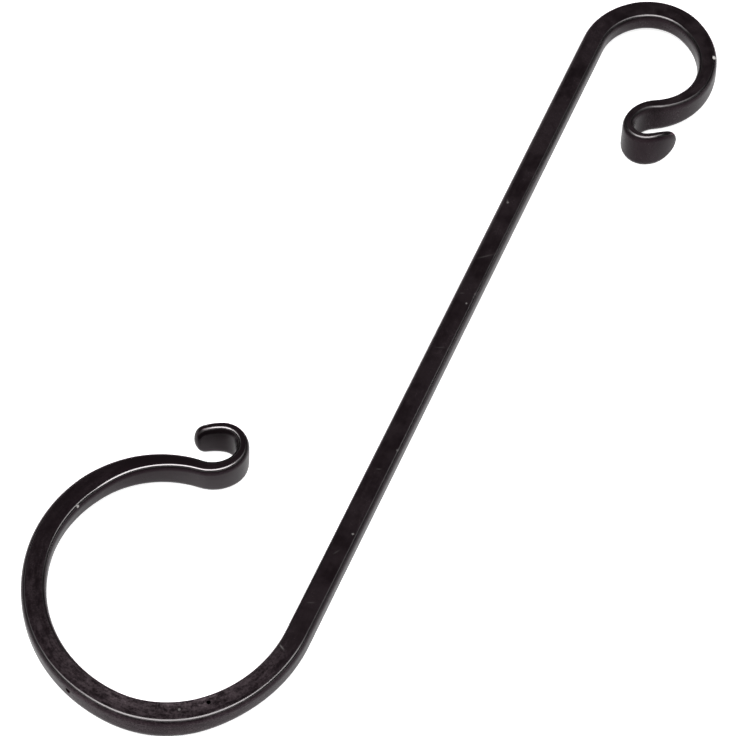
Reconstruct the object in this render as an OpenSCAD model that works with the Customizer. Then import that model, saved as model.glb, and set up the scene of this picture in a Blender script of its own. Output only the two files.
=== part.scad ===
// S hook, forged from one length of square steel bar and finished in black.
// The hook lies flat: its plane is level, the shank runs along Y with the small hook at +Y and
// the large hook at -Y, and each hook opens to its own side of the shank. Both ends of the bar
// are drawn out thin and wide, curled outward into a small scroll and rounded at the tip.
// Every bend is an arc of the bar's centreline, listed in order from the shank outward.

/* [Bar] */
// Side of the square bar over its coat: quarter-inch stock, coated all round
bar = 6.5; // [5:0.05:7.5]
// Radius along the bar's long edges
edge_r = 1.3; // [0.5:0.1:2]
// Length of the straight shank between the hooks
shank_len = 218; // [120:1:320]

/* [Large hook] */
// Centreline radii of the bends in the full bar
large_bend_r = [38, 29, 41, 34.5]; // [20:0.5:60]
// Angles of the bends in the full bar
large_bend_a = [47.5, 46.5, 72, 42.5]; // [30:0.5:75]
// Centreline radii of the bends where the bar thins towards the scroll
large_neck_r = [29]; // [20:0.5:40]
// Angles of the bends where the bar thins towards the scroll
large_neck_a = [59.5]; // [40:0.5:70]
// Centreline radii of the scroll, which curls the other way
large_scroll_r = [9, 5.8, 15]; // [4:0.2:20]
// Angles of the scroll
large_scroll_a = [59, 137, 30]; // [20:1:140]
// Thickness of the drawn tip
large_tip_t = 2.8; // [1.8:0.1:3.5]
// Width of the drawn tip
large_tip_w = 10.6; // [8:0.2:14]
// How early the bar thins along the drawn end: 1 is an even taper
large_draw_power = 1.5; // [1:0.1:3]
// Length of the rounded tip
large_tip_round = 2.8; // [2:0.2:8]

/* [Small hook] */
// Centreline radii of the bends in the full bar
small_bend_r = [19.2, 15]; // [12:0.2:30]
// Angles of the bends in the full bar
small_bend_a = [51.5, 69.5]; // [40:0.5:75]
// Centreline radii of the bends where the bar thins towards the scroll
small_neck_r = [22.4, 17.8]; // [12:0.2:30]
// Angles of the bends where the bar thins towards the scroll
small_neck_a = [62, 59]; // [40:0.5:70]
// Centreline radii of the scroll, which curls the other way
small_scroll_r = [9.5, 5, 11.4]; // [4:0.2:20]
// Angles of the scroll
small_scroll_a = [66, 112, 48]; // [20:1:140]
// Thickness of the drawn tip
small_tip_t = 2.5; // [1.8:0.1:3.5]
// Width of the drawn tip
small_tip_w = 13; // [8:0.2:15]
// How early the bar thins along the drawn end: 1 is an even taper
small_draw_power = 1.2; // [1:0.1:3]
// Length of the rounded tip
small_tip_round = 8.2; // [2:0.2:10]

/* [Hidden] */
black = [0.13, 0.11, 0.12];
// Flat steps around each rounded edge of the bar
corner_steps = 5;
// The most that an edge radius may be, as a share of the section's thickness and of its depth
edge_share = 0.48;
// Spacing of the sections along a bend and along a drawn end
bend_gap = 1.8;
drawn_gap = 1.2;
// Angles of the sections around a rounded tip
tip_steps = [0 : 10 : 80];
last_tip_step = 86;
clockwise = -1;
anticlockwise = 1;

// A place on the centreline is [x, y, heading], and an arc is [radius, signed angle].
small_start = [0, shank_len / 2, 90];
large_start = [0, -shank_len / 2, -90];
small_body = arcs(small_bend_r, small_bend_a, clockwise);
large_body = arcs(large_bend_r, large_bend_a, clockwise);
small_drawn = concat(arcs(small_neck_r, small_neck_a, clockwise),
                     arcs(small_scroll_r, small_scroll_a, anticlockwise));
large_drawn = concat(arcs(large_neck_r, large_neck_a, clockwise),
                     arcs(large_scroll_r, large_scroll_a, anticlockwise));
small_tip = [small_tip_t, small_tip_w, small_draw_power, small_tip_round];
large_tip = [large_tip_t, large_tip_w, large_draw_power, large_tip_round];

// The bar's sections, each [x, y, heading, thickness, depth], from the large tip to the small one.
small_half = half_bar(small_start, small_body, small_drawn, small_tip, 0);
large_half = half_bar(large_start, large_body, large_drawn, large_tip, 180);
sections = concat([for (i = [len(large_half) - 1 : -1 : 0]) large_half[i]], small_half);

function arcs(radii, angles, turn) = [for (i = [0 : len(radii) - 1]) [radii[i], turn * angles[i]]];

function arc_len(arc) = arc[0] * abs(arc[1]) * PI / 180;

function path_len(path) = [for (arc = path) arc_len(arc)] * [for (arc = path) 1];

// The place reached from another by turning an angle along an arc.
function turned(place, arc, angle) =
    let (side = place[2] + sign(arc[1]) * 90,
         centre = [place.x + arc[0] * cos(side), place.y + arc[0] * sin(side)])
    [centre.x - arc[0] * cos(side + angle), centre.y - arc[0] * sin(side + angle), place[2] + angle];

// The place at the end of the first n arcs of a path.
function end_of(place, path, n, i = 0) =
    i == n ? place : end_of(turned(place, path[i], path[i][1]), path, n, i + 1);

// The place a distance s along a path.
function along(place, path, s, i = 0) =
    s <= arc_len(path[i]) || i == len(path) - 1
    ? turned(place, path[i], path[i][1] * s / arc_len(path[i]))
    : along(turned(place, path[i], path[i][1]), path, s - arc_len(path[i]), i + 1);

// Thickness and depth of a drawn end at a distance s along it. The bar thins from its full side
// to the tip's thickness and spreads as it thins, and its area falls smoothly to the tip's. Over
// the last stretch the depth follows an ellipse, which rounds the tip.
function drawn_size(path, tip, s) =
    let (left = path_len(path) - s,
         u = left / path_len(path),
         thick = tip[0] + (bar - tip[0]) * pow(u, tip[2]),
         area = bar * bar - (bar * bar - tip[0] * tip[1]) * pow(1 - u, 3),
         v = max(0, 1 - left / tip[3]))
    [thick, area / thick * sqrt(1 - v * v)];

// Distances along a drawn end at which it has a section.
function stations(path, tip) =
    let (straight_part = path_len(path) - tip[3], n = ceil(straight_part / drawn_gap))
    concat([for (i = [0 : n - 1]) straight_part * i / n],
           [for (a = tip_steps) straight_part + tip[3] * sin(a)],
           [straight_part + tip[3] * sin(last_tip_step)]);

// The sections of one half of the bar, from the shank's end outward.
function half_bar(start, body, drawn, tip, turn) =
    let (neck = end_of(start, body, len(body)))
    concat(
        [for (i = [0 : len(body) - 1])
            let (n = ceil(arc_len(body[i]) / bend_gap))
            for (k = [0 : n - 1])
                faced(turned(end_of(start, body, i), body[i], body[i][1] * k / n), [bar, bar], turn)],
        [for (s = stations(drawn, tip)) faced(along(neck, drawn, s), drawn_size(drawn, tip, s), turn)]);

// A section at a place, with the heading turned so that all the sections face the same way.
function faced(place, size, turn) = concat([place.x, place.y, place[2] + turn], size);

// Outline of a section: a rectangle with rounded corners, standing upright across the centreline.
function ring(at) =
    let (across = [sin(at[2]), -cos(at[2])],
         r_x = min(edge_r, edge_share * at[3]),
         r_z = min(edge_r, edge_share * at[4]))
    [for (q = [0 : 3], i = [0 : corner_steps])
        let (a = 90 * (q + i / corner_steps),
             x = (q == 0 || q == 3 ? 1 : -1) * (at[3] / 2 - r_x) + r_x * cos(a),
             z = (q < 2 ? 1 : -1) * (at[4] / 2 - r_z) + r_z * sin(a))
        [at.x + x * across.x, at.y + x * across.y, z]];

// The whole bar: its sections joined into one skin, closed at both tips, then set with its box
// centred on the origin and standing on the ground.
module hook_bar() {
    points = [for (at = sections) each ring(at)];
    n = 4 * (corner_steps + 1);
    last = len(sections) - 1;
    skin = [for (k = [0 : last - 1], i = [0 : n - 1])
        let (j = (i + 1) % n)
        each [[k * n + i, k * n + j, (k + 1) * n + j], [k * n + i, (k + 1) * n + j, (k + 1) * n + i]]];
    caps = [[for (i = [n - 1 : -1 : 0]) i], [for (i = [0 : n - 1]) last * n + i]];
    low = [for (axis = [0 : 2]) min([for (p = points) p[axis]])];
    high = [for (axis = [0 : 2]) max([for (p = points) p[axis]])];
    color(black)
        translate([-(low.x + high.x) / 2, -(low.y + high.y) / 2, -low.z])
            polyhedron(points, concat(skin, caps));
}

hook_bar();
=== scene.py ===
from math import atan2, ceil, cos, degrees, exp, pi, radians, sin, sqrt

import bmesh
import bpy
from mathutils import Matrix, Vector


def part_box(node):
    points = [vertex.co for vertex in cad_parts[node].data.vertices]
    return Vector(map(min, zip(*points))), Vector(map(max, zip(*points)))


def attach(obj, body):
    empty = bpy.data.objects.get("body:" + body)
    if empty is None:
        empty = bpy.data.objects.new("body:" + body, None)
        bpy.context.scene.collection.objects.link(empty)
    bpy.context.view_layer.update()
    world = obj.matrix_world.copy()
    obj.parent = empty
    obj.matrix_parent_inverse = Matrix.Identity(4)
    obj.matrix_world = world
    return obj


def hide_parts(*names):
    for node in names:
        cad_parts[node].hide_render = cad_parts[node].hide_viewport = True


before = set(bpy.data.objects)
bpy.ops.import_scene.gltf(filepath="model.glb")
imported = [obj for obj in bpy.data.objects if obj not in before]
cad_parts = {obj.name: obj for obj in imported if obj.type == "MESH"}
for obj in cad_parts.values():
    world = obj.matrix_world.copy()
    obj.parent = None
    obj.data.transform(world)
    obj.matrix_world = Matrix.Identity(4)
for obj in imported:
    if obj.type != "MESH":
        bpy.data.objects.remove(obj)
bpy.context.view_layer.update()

# ---- The hook ------------------------------------------------------------------------------
# One length of quarter-inch square steel bar with eased edges. The smith draws both ends out thin
# and wide, and then bends the bar from each tip inward: the scroll first, then the neck, then the
# hook itself. It lies flat, with the straight shank along Y and the small hook at +Y.

# Side of the bar over its coat, and how far its long edges are eased across the top and down the
# sides. An edge takes no more than its share of a drawn end's thickness or width.
BAR = 0.0065
EDGE_ACROSS = 0.00115
EDGE_DOWN = 0.0021
EDGE_STEPS = 8
EDGE_SHARE = 0.48

# Length of the straight shank, and spacing of the rings along it and along the bends.
SHANK = 0.218
SHANK_GAP = 0.004
RING_GAP = 0.0011

# Length over which a tip's own edge is rounded, and the angles of the rings round the tip.
TIP_EDGE = 0.0011
TIP_ANGLES = (0, 10, 20, 30, 40, 50, 58, 66, 73, 79, 84, 87)

# Each half of the bar from the shank outward. A bend is (centreline radius, degrees): positive
# turns clockwise, as the hook does, and negative turns back, as the scroll does. The drawn end
# takes in the last few bends. It thins evenly where early is 1, and sooner where it is more, and
# its tip is rounded over the given length.
SMALL = dict(side=1, drawn_bends=5, tip_thick=0.0025, tip_wide=0.013, early=1.2, rounded=0.0082,
             bends=[(0.0192, 51.5), (0.015, 69.5), (0.0224, 62), (0.0178, 59),
                    (0.0095, -66), (0.005, -112), (0.0114, -48)])
LARGE = dict(side=-1, drawn_bends=4, tip_thick=0.0028, tip_wide=0.0106, early=1.5, rounded=0.0028,
             bends=[(0.038, 47.5), (0.029, 46.5), (0.041, 72), (0.0345, 42.5), (0.029, 59.5),
                    (0.009, -59), (0.0058, -137), (0.015, -30)])

# The bar is upset a little at the bottom of the large hook: its place on the straight bar, its
# reach to either side, and the share of the bar's side that it adds.
UPSET_PLACE = -0.15
UPSET_REACH = 0.013
UPSET_SHARE = 0.06

# Twist left in the bar by the forging: (metres from the small tip, degrees).
TWIST = [(0, 1.4), (0.012, 0.8), (0.027, -0.4), (0.042, -1.0), (0.057, 2.4), (0.072, 6.0),
         (0.088, 5.6), (0.12, 2.7), (0.305, 2.7), (0.345, -0.6), (0.375, -8.8), (0.41, -1.8),
         (0.44, -7.6), (0.46, -4.1), (0.472, -1.6), (0.483, -1.8), (0.495, -3.2), (0.508, -2.6),
         (0.52, 2.4)]

# The eased edges rub bare where they face this many degrees up or down, within the given spread.
RUBBED_SLOPE = 60
RUBBED_SPREAD = 30


def arc_length(bend):
    return bend[0] * radians(abs(bend[1]))


def half_length(half):
    return SHANK / 2 + sum(arc_length(bend) for bend in half["bends"])


def steps_of(half):
    """The half's bends in short steps from the shank outward: (length, degrees)."""
    out = []
    for bend in half["bends"]:
        n = ceil(arc_length(bend) / RING_GAP)
        out += [(arc_length(bend) / n, bend[1] / n)] * n
    return out


def rings_of(half):
    """Places of the half's rings along the straight bar, from the shank's middle outward."""
    n = ceil((SHANK - SHANK_GAP) / 2 / SHANK_GAP)
    out = [SHANK_GAP / 2 + (SHANK - SHANK_GAP) / 2 * k / n for k in range(1, n + 1)]
    for length, _ in steps_of(half):
        out.append(out[-1] + length)
    tip = half_length(half)
    out = [y for y in out if y < tip - half["rounded"] - RING_GAP / 2]
    return out + [tip - half["rounded"] * (1 - sin(radians(a))) for a in TIP_ANGLES]


def drawn_size(half, left):
    """Thickness and width of the bar at a distance left from its tip."""
    reach = sum(arc_length(bend) for bend in half["bends"][-half["drawn_bends"]:])
    u = min(1, left / reach)
    thick = half["tip_thick"] + (BAR - half["tip_thick"]) * u ** half["early"]
    area = BAR ** 2 - (BAR ** 2 - half["tip_thick"] * half["tip_wide"]) * (1 - u) ** 3
    wide = area / thick * sqrt(1 - max(0, 1 - left / half["rounded"]) ** 2)
    return thick * sqrt(1 - max(0, 1 - left / TIP_EDGE) ** 2), wide


def twist_at(y):
    """Twist of the straight bar at a place along it, in degrees."""
    s = half_length(SMALL) - y
    for (s0, t0), (s1, t1) in zip(TWIST, TWIST[1:]):
        if s <= s1:
            u = min(1, max(0, (s - s0) / (s1 - s0)))
            return t0 + (t1 - t0) * u * u * (3 - 2 * u)
    return TWIST[-1][1]


def pick(chosen):
    """Selects the given vertices, and nothing else."""
    bpy.ops.mesh.select_all(action="DESELECT")
    for v in chosen:
        v.select = True
    bmesh.from_edit_mesh(bar.data).select_flush_mode()


# The bar starts as a short sleeve at the middle of the shank: four flats and four eased edges. It
# is squat while the edges are rounded, and then made square, so they ease further down the sides.
bpy.ops.object.select_all(action="DESELECT")
squat = EDGE_ACROSS / EDGE_DOWN
bpy.ops.mesh.primitive_cube_add(size=1, scale=(BAR, SHANK_GAP, BAR * squat))
bar = bpy.context.object
bar.name = "forged_bar"
bpy.ops.object.transform_apply(scale=True)
bpy.ops.object.mode_set(mode="EDIT")
bpy.ops.mesh.select_mode(type="FACE")
for face in bmesh.from_edit_mesh(bar.data).faces:
    face.select_set(abs(face.normal.y) > 0.5)
bpy.ops.mesh.delete(type="ONLY_FACE")
bpy.ops.mesh.select_mode(type="EDGE")
for edge in bmesh.from_edit_mesh(bar.data).edges:
    edge.select_set(abs(edge.verts[0].co.y - edge.verts[1].co.y) > SHANK_GAP / 2)
bpy.ops.mesh.bevel(offset=EDGE_ACROSS, segments=EDGE_STEPS, profile=0.5)
bpy.ops.mesh.select_all(action="SELECT")
bpy.ops.transform.resize(value=(1, 1, 1 / squat), center_override=(0, 0, 0))
bpy.ops.mesh.select_mode(type="VERT")

# It is pulled out to its whole length both ways, ring by ring, and closed at both tips.
for half in (SMALL, LARGE):
    side, now = half["side"], SHANK_GAP / 2
    pick([v for v in bmesh.from_edit_mesh(bar.data).verts if v.co.y * side > 0])
    for y in rings_of(half):
        step = (0, side * (y - now), 0)
        bpy.ops.mesh.extrude_region_move(TRANSFORM_OT_translate={"value": step})
        now = y
    bpy.ops.mesh.edge_face_add()

# While the bar is still straight and square, each point notes its place along and across it, and
# how much its edge will rub. The coat's marks and its worn edges go by these notes.
bm = bmesh.from_edit_mesh(bar.data)
straight = bm.verts.layers.float_vector.new("straight")
on_edge = bm.verts.layers.float.new("on_edge")
for v in bm.verts:
    v[straight] = v.co
    outward = (abs(v.co.x) - BAR / 2 + EDGE_ACROSS) / EDGE_ACROSS ** 2
    upward = (abs(v.co.z) - BAR / 2 + EDGE_DOWN) / EDGE_DOWN ** 2
    if min(outward, upward) >= 0:
        slope = degrees(atan2(upward, outward))
        v[on_edge] = max(0, cos(radians((slope - RUBBED_SLOPE) / RUBBED_SPREAD * 90)))

# The drawn ends are thinned and spread ring by ring. Opposite sides move in or out, so that the
# rounded edges between them keep their radius, and shrink only where the bar is thinner than them.
rings = {}
for v in bm.verts:
    rings.setdefault(round(v.co.y, 7), []).append(v)
for y, ring in rings.items():
    half = SMALL if y > 0 else LARGE
    thick, wide = drawn_size(half, max(0, half_length(half) - abs(y)))
    swell = 1 + UPSET_SHARE * exp(-((y - UPSET_PLACE) / UPSET_REACH) ** 2)
    for axis, size, eased in ((0, thick * swell, EDGE_ACROSS), (2, wide * swell, EDGE_DOWN)):
        shrink = min(1, size * EDGE_SHARE / eased)
        pick(ring)
        value = [shrink if i == axis else 1 for i in range(3)]
        bpy.ops.transform.resize(value=value, center_override=(0, y, 0))
        for sign in (-1, 1):
            pick([v for v in ring if v.co[axis] * sign > 0])
            value = [sign * (size - BAR * shrink) / 2 if i == axis else 0 for i in range(3)]
            bpy.ops.transform.translate(value=value)

# Every ring takes its twist.
for y, ring in rings.items():
    pick(ring)
    bpy.ops.transform.rotate(value=-radians(twist_at(y)), orient_axis="Y", center_override=(0, y, 0))

# Each bend is made on bar that is still straight, from the tip inward.
for half in (SMALL, LARGE):
    side, left = half["side"], 0
    order = sorted((y * side, ring) for y, ring in rings.items() if y * side > 0)
    outer = []
    for length, turn in reversed(steps_of(half)):
        hinge = half_length(half) - left - length / 2
        while order[-1][0] > hinge:
            outer += order.pop()[1]
        pick(outer)
        bpy.ops.transform.rotate(value=radians(turn), orient_axis="Z",
                                 center_override=(0, side * hinge, 0))
        left += length
bpy.ops.mesh.select_all(action="SELECT")
bpy.ops.mesh.normals_make_consistent(inside=False)

# It is set down where the CAD bar lies.
low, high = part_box("hook_bar")
points = [v.co.copy() for v in bmesh.from_edit_mesh(bar.data).verts]
middle = [(min(p[i] for p in points) + max(p[i] for p in points)) / 2 for i in range(3)]
shift = Vector([(low[i] + high[i]) / 2 - middle[i] for i in (0, 1)] + [(low[2] + high[2]) / 2])
bpy.ops.transform.translate(value=shift)
bpy.ops.object.mode_set(mode="OBJECT")
bpy.ops.object.shade_smooth_by_angle(angle=radians(40))


class Socket:
    """A socket of a material's nodes. A sum on it adds the Math node that works the sum out."""

    def __init__(self, tree, socket=None):
        self.tree = tree
        self.socket = socket

    def node(self, kind, sockets, output=0, **settings):
        """Adds a node with its settings and its sockets' values or links, and returns one output."""
        node = self.tree.nodes.new(kind)
        for name, value in settings.items():
            setattr(node, name, value)
        for name, value in sockets.items():
            if isinstance(value, Socket):
                self.tree.links.new(value.socket, node.inputs[name])
            else:
                node.inputs[name].default_value = value
        return Socket(self.tree, node.outputs[output])

    def math(self, operation, a, b):
        return self.node("ShaderNodeMath", {0: a, 1: b}, operation=operation)

    def __add__(self, other):
        return self.math("ADD", self, other)

    def __radd__(self, other):
        return self.math("ADD", other, self)

    def __sub__(self, other):
        return self.math("SUBTRACT", self, other)

    def __rsub__(self, other):
        return self.math("SUBTRACT", other, self)

    def __mul__(self, other):
        return self.math("MULTIPLY", self, other)

    def __rmul__(self, other):
        return self.math("MULTIPLY", other, self)

    def ramp(self, start, end):
        """0 before the start, 1 past the end, and smooth between. Either may be the higher."""
        return self.node("ShaderNodeMapRange", {"Value": self, "From Min": start, "From Max": end},
                         interpolation_type="SMOOTHSTEP")

    def hump(self, middle, reach):
        """1 at the middle, falling smoothly to 0 at the given reach to either side."""
        return self.ramp(middle - reach, middle) * self.ramp(middle + reach, middle)

    def noise(self, where, size, detail=2.0, roughness=0.5):
        """Noise from 0 to 1 whose lumps are about the given size in metres."""
        return self.node("ShaderNodeTexNoise", {"Vector": where, "Scale": 0.5 / size, "Detail": detail,
                                                "Roughness": roughness})

    def near(self, where, place, reach, ragged):
        """1 at a place, falling to 0 at the given reach, with a ragged border."""
        away = self.node("ShaderNodeVectorMath", {0: where, 1: place}, output="Value",
                         operation="DISTANCE")
        return (away * (1 / reach) + ragged).ramp(1.0, 0.7)

    def mix(self, factor, low, high):
        """Colour that goes from low to high with the factor. A Mix node's colours are 6, 7 and 2."""
        return self.node("ShaderNodeMix", {0: factor, 6: low, 7: high}, output=2, data_type="RGBA")


# The coat is thin black paint baked on the steel. It is blotched and specked with dust along the
# bar, most of all under the large hook, where the lighter colour also paints in a sheen. It is
# rubbed down to dark iron along the edges. Some of the rubbed iron has dulled.
PAINT = (0.0066, 0.0046, 0.0054, 1)
# The dust's lighter colour, which on the large hook's bottom also paints in a sheen.
DUST_AND_SHEEN = (0.11, 0.086, 0.095, 1)
RUBBED = (0.19, 0.178, 0.181, 1)
DULLED = (0.07, 0.065, 0.067, 1)
BARE = (0.62, 0.6, 0.58, 1)
PIT = (0, 0, 0, 1)
GLOSS_TINT = (0.45, 0.2, 0.32, 1)
GLOSS = 0.25
PAINT_ROUGH = 0.25
BUMP_HEIGHT = 0.00006

# Chips down to bright steel, by their places on the straight bar: (place, reach, brightness).
CHIPS = [((-0.0024, 0.1596, 0.0032), 0.0007, 1), ((-0.0028, -0.2337, 0.0029), 0.0005, 0.6),
         ((-0.0003, -0.1471, 0.0033), 0.0004, 0.15), ((0.0015, -0.0769, 0.0033), 0.0004, 0.2),
         ((0.0023, 0.0071, 0.0032), 0.0005, 0.08), ((0.0023, 0.0059, 0.0032), 0.0004, 0.06),
         ((0.0012, 0.0032, 0.0033), 0.0003, 0.2), ((-0.0011, 0.0405, 0.0033), 0.0004, 0.12),
         ((0.0022, -0.0486, 0.0032), 0.0004, 0.1)]

# Fine scratches across the upper side: (middle, degrees from square across, reach, brightness).
SCRATCHES = [((0.0002, 0.0204), 41, 0.0034, 0.045), ((-0.0012, 0.0059), 23, 0.001, 0.03),
             ((0.0002, -0.0134), 23, 0.002, 0.03), ((-0.0001, -0.056), 23, 0.001, 0.04),
             ((-0.0003, -0.0836), 60, 0.0015, 0.03), ((-0.0003, -0.0998), 23, 0.0015, 0.03),
             ((-0.0015, -0.1146), -25, 0.0016, 0.14), ((-0.0013, 0.0409), -60, 0.0012, 0.05)]
SCRATCH_WIDE = 0.00035
UPPER_SIDE = (0.002, 0.003)

# Black pits under the large hook: (place, reach).
PITS = [((-0.0007, -0.1394, 0.0033), 0.0006), ((0.0033, -0.1757, 0.0006), 0.0009)]

# Stretches of the rubbed edges that have dulled: (middle, reach, how much).
DULL_STRETCHES = [(-0.195, 0.04, 1), (-0.15, 0.035, 0.65), (0.193, 0.013, 0.4)]


def scratch(x, y, middle, turn, reach):
    """1 along the middle of a fine straight scratch, falling to 0 at its ends and its sides."""
    x, y = x - middle[0], y - middle[1]
    run = x * cos(radians(turn)) + y * sin(radians(turn))
    off = y * cos(radians(turn)) - x * sin(radians(turn))
    return run.hump(0, reach) * off.hump(0, SCRATCH_WIDE)


coat = bpy.data.materials.new("black_coat")
coat.use_nodes = True
skin = coat.node_tree.nodes["Principled BSDF"]
skin.inputs["Specular IOR Level"].default_value = GLOSS
skin.inputs["Specular Tint"].default_value = GLOSS_TINT

# The places on the straight bar, and the patterns that lie on it: x is across, y along, z up.
brush = Socket(coat.node_tree)
along = brush.node("ShaderNodeAttribute", {}, output="Vector", attribute_name="straight")
edge = brush.node("ShaderNodeAttribute", {}, output="Fac", attribute_name="on_edge")
x, y, z = (brush.node("ShaderNodeSeparateXYZ", {0: along}, output=axis) for axis in "XYZ")
drawn = brush.node("ShaderNodeVectorMath", {0: along, 1: (1, 0.25, 1)}, operation="MULTIPLY")
patch = brush.noise(along, 0.009)
streak = brush.noise(drawn, 0.0006, detail=3, roughness=0.7)
speck = brush.noise(along, 0.0003, roughness=0.8)
lump = brush.noise(along, 0.0035, detail=1)
blotch = brush.noise(along, 0.0032, detail=3, roughness=0.55)

# Dust gathers where hands hold the large hook, and thins out past it. Its rise toward the inner
# side, most at the hook's bottom, is partly dust and partly a painted sheen.
dust_and_sheen_mask = y.ramp(-0.203, -0.163) * y.ramp(-0.105, -0.14) * (1.2 - 0.75 * x.ramp(-0.0035, 0.003))
dust_and_sheen_mask = dust_and_sheen_mask + 0.45 * y.hump(-0.145, 0.018) * x.ramp(0.001, -0.003)
dust_and_sheen_mask = dust_and_sheen_mask + 0.16 * y.hump(-0.21, 0.04) + 0.08 * patch.ramp(0.4, 0.65)
dust_and_sheen = (streak * 0.6 + speck * 0.4).ramp(0.35, 0.76) * (patch.ramp(0.25, 0.7) * 0.3 + 0.7) * dust_and_sheen_mask

# The shank and the small hook are made lighter in blotches, and half again as much from past the
# shank's middle on into the small hook.
lighter_blotches = y.ramp(-0.13, -0.1) + 0.5 * y.ramp(0, 0.08)
dust_and_sheen = dust_and_sheen + (blotch.ramp(0.36, 0.64) * 1.5 + streak * 0.4 - 0.1) * lighter_blotches * 0.042

# The edges are rubbed all along, up to the large tip. They are dull along the lower shank, on the
# large scroll's outer side and in the listed stretches. Along the upper shank they are made a
# little less metallic, so that their lighter colour paints in a faint highlight line.
rubbed = (edge + (speck - 0.5) * 0.3).ramp(0.25, 0.6) * y.ramp(-0.302, -0.296)
dulled = (0.55 * y.ramp(-0.01, -0.035) + 0.45 * y.ramp(-0.04, -0.07)) * y.ramp(-0.116, -0.107)
dulled = dulled + 0.45 * y.ramp(0.1, 0.115)
dulled = dulled + 1.1 * y.hump(-0.287, 0.012) * x.ramp(0, -0.001)
for place, reach, share in DULL_STRETCHES:
    dulled = dulled + share * y.hump(place, reach)
# Painted highlight: the faint lighter line along the upper shank's edges.
painted_edge_highlight = 0.08 * y.ramp(0, 0.03) * y.ramp(0.12, 0.1)

chipped = 0
for place, reach, bright in CHIPS:
    chipped = brush.near(along, place, reach, (speck - 0.5) * 1.2) * bright + chipped
for place, turn, reach, bright in SCRATCHES:
    chipped = scratch(x, y, place, turn, reach) * z.ramp(*UPPER_SIDE) * bright + chipped
pitted = 0
for place, reach in PITS:
    pitted = brush.near(along, place, reach, (speck - 0.5) * 0.8) + pitted

colour = brush.mix(dust_and_sheen, PAINT, DUST_AND_SHEEN)
colour = brush.mix(rubbed, colour, brush.mix(dulled, RUBBED, DULLED))
colour = brush.mix(chipped, colour, BARE)
colour = brush.mix(pitted, colour, PIT)
# Less metal where the upper shank's edge highlight is painted in as colour.
metal = rubbed * (1 - chipped) * (1 - painted_edge_highlight) + pitted
rough = PAINT_ROUGH + dust_and_sheen * 0.2 + rubbed * (dulled * 0.12 - 0.03) + (speck - 0.5) * 0.06
bump = brush.node("ShaderNodeBump", {"Strength": 1.0, "Distance": BUMP_HEIGHT,
                                     "Height": lump + streak * 0.08 + speck * 0.05})
for name, value in (("Base Color", colour), ("Metallic", metal), ("Roughness", rough), ("Normal", bump)):
    coat.node_tree.links.new(value.socket, skin.inputs[name])

bar.data.materials.append(coat)
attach(bar, "root")
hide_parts("hook_bar")

# ---- The floor -----------------------------------------------------------------------------
# A plain white table top, lit just to white, which keeps the hook's soft shadow. It glows by
# itself only where it is looked at, straight or in the hook's gloss, and casts no light by that.
FLOOR_SIZE = 60
FLOOR_COLOUR = (0.75, 0.75, 0.75, 1)
GLOW_SEEN = 0.8
GLOW_MIRRORED = 0.15

bpy.ops.object.select_all(action="DESELECT")
bpy.ops.mesh.primitive_plane_add(size=FLOOR_SIZE)
floor = bpy.context.object
floor.name = "floor"
white = bpy.data.materials.new("white_floor")
white.use_nodes = True
top = white.node_tree.nodes["Principled BSDF"]
top.inputs["Base Color"].default_value = FLOOR_COLOUR
top.inputs["Roughness"].default_value = 1
top.inputs["Specular IOR Level"].default_value = 0
top.inputs["Emission Strength"].default_value = 1
glow = Socket(white.node_tree)
seen = glow.node("ShaderNodeLightPath", {}, output="Is Camera Ray")
mirrored = glow.node("ShaderNodeLightPath", {}, output="Is Glossy Ray")
through = glow.node("ShaderNodeLightPath", {}, output="Is Transmission Ray")
shown = glow.mix(seen * GLOW_SEEN + mirrored * GLOW_MIRRORED + through * GLOW_MIRRORED,
                 (0, 0, 0, 1), (1, 1, 1, 1))
white.node_tree.links.new(shown.socket, top.inputs["Emission Color"])
floor.data.materials.append(white)

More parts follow.
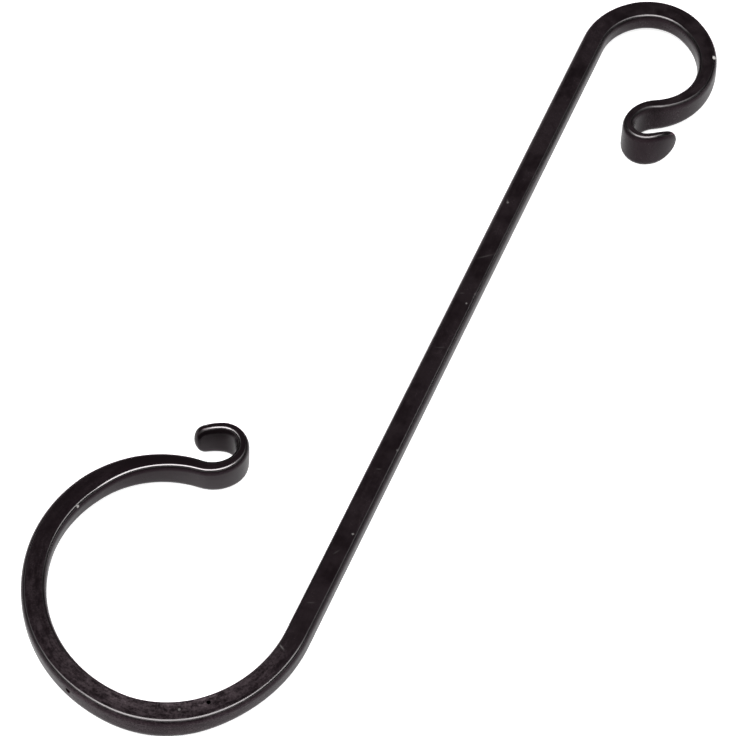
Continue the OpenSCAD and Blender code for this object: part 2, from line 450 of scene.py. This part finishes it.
# ---- Light ---------------------------------------------------------------------------------
# A wide softbox over the camera's side, a dimmer one on each side of it, a dim wall behind the
# hook and a dark room behind the camera. AZIMUTH and ELEVATION are the camera's, in degrees.
AZIMUTH = 22.806
ELEVATION = 54.743
ROOM = (0.012, 0.012, 0.012, 1)


def toward(azimuth, elevation):
    """Unit vector from the hook to a place in the room, by azimuth from -Y and elevation."""
    a, e = radians(azimuth), radians(elevation)
    return Vector((sin(a) * cos(e), -cos(a) * cos(e), sin(e)))


def softbox(name, azimuth, elevation, distance, size, brightness):
    """A rectangular lamp that faces the hook. Its face is so many times as bright as plain white."""
    lamp = bpy.data.lights.new(name, "AREA")
    lamp.shape = "RECTANGLE"
    lamp.size, lamp.size_y = size
    lamp.energy = brightness * pi * size[0] * size[1]
    ob = bpy.data.objects.new(name, lamp)
    bpy.context.collection.objects.link(ob)
    ob.location = shift + toward(azimuth, elevation) * distance
    ob.rotation_euler = (ob.location - shift).to_track_quat("Z", "Y").to_euler()
    ob.visible_camera = False


softbox("main_softbox", AZIMUTH - 10, 66, 1.1, (1.3, 0.7), 5.8)
softbox("left_softbox", AZIMUTH - 90, 58, 1.2, (0.7, 0.5), 2.4)
softbox("right_softbox", AZIMUTH + 95, 58, 1.2, (0.6, 0.5), 2)
softbox("wall", AZIMUTH + 180, 30, 1.6, (2.6, 1.4), 0.05)

world = bpy.data.worlds.new("room")
bpy.context.scene.world = world
world.use_nodes = True
world.node_tree.nodes["Background"].inputs["Color"].default_value = ROOM

# ---- Camera --------------------------------------------------------------------------------
# It looks down on the hook from over the large hook's end. AIM is the place that it looks at, in
# metres to the right of the shank's middle and beyond it, as the camera faces.
DISTANCE = 0.71456
LENS = 129.338
AIM = (-0.02444, -0.01697)

facing = Matrix.Rotation(radians(AZIMUTH), 3, "Z")
aim = shift + facing @ Vector((AIM[0], AIM[1], 0))
camera_data = bpy.data.cameras.new("camera")
camera_data.lens = LENS
camera = bpy.data.objects.new("camera", camera_data)
bpy.context.collection.objects.link(camera)
camera.location = aim + toward(AZIMUTH, ELEVATION) * DISTANCE
camera.rotation_euler = (camera.location - aim).to_track_quat("Z", "Y").to_euler()
bpy.context.scene.camera = camera
bpy.context.scene.view_settings.view_transform = "Standard"
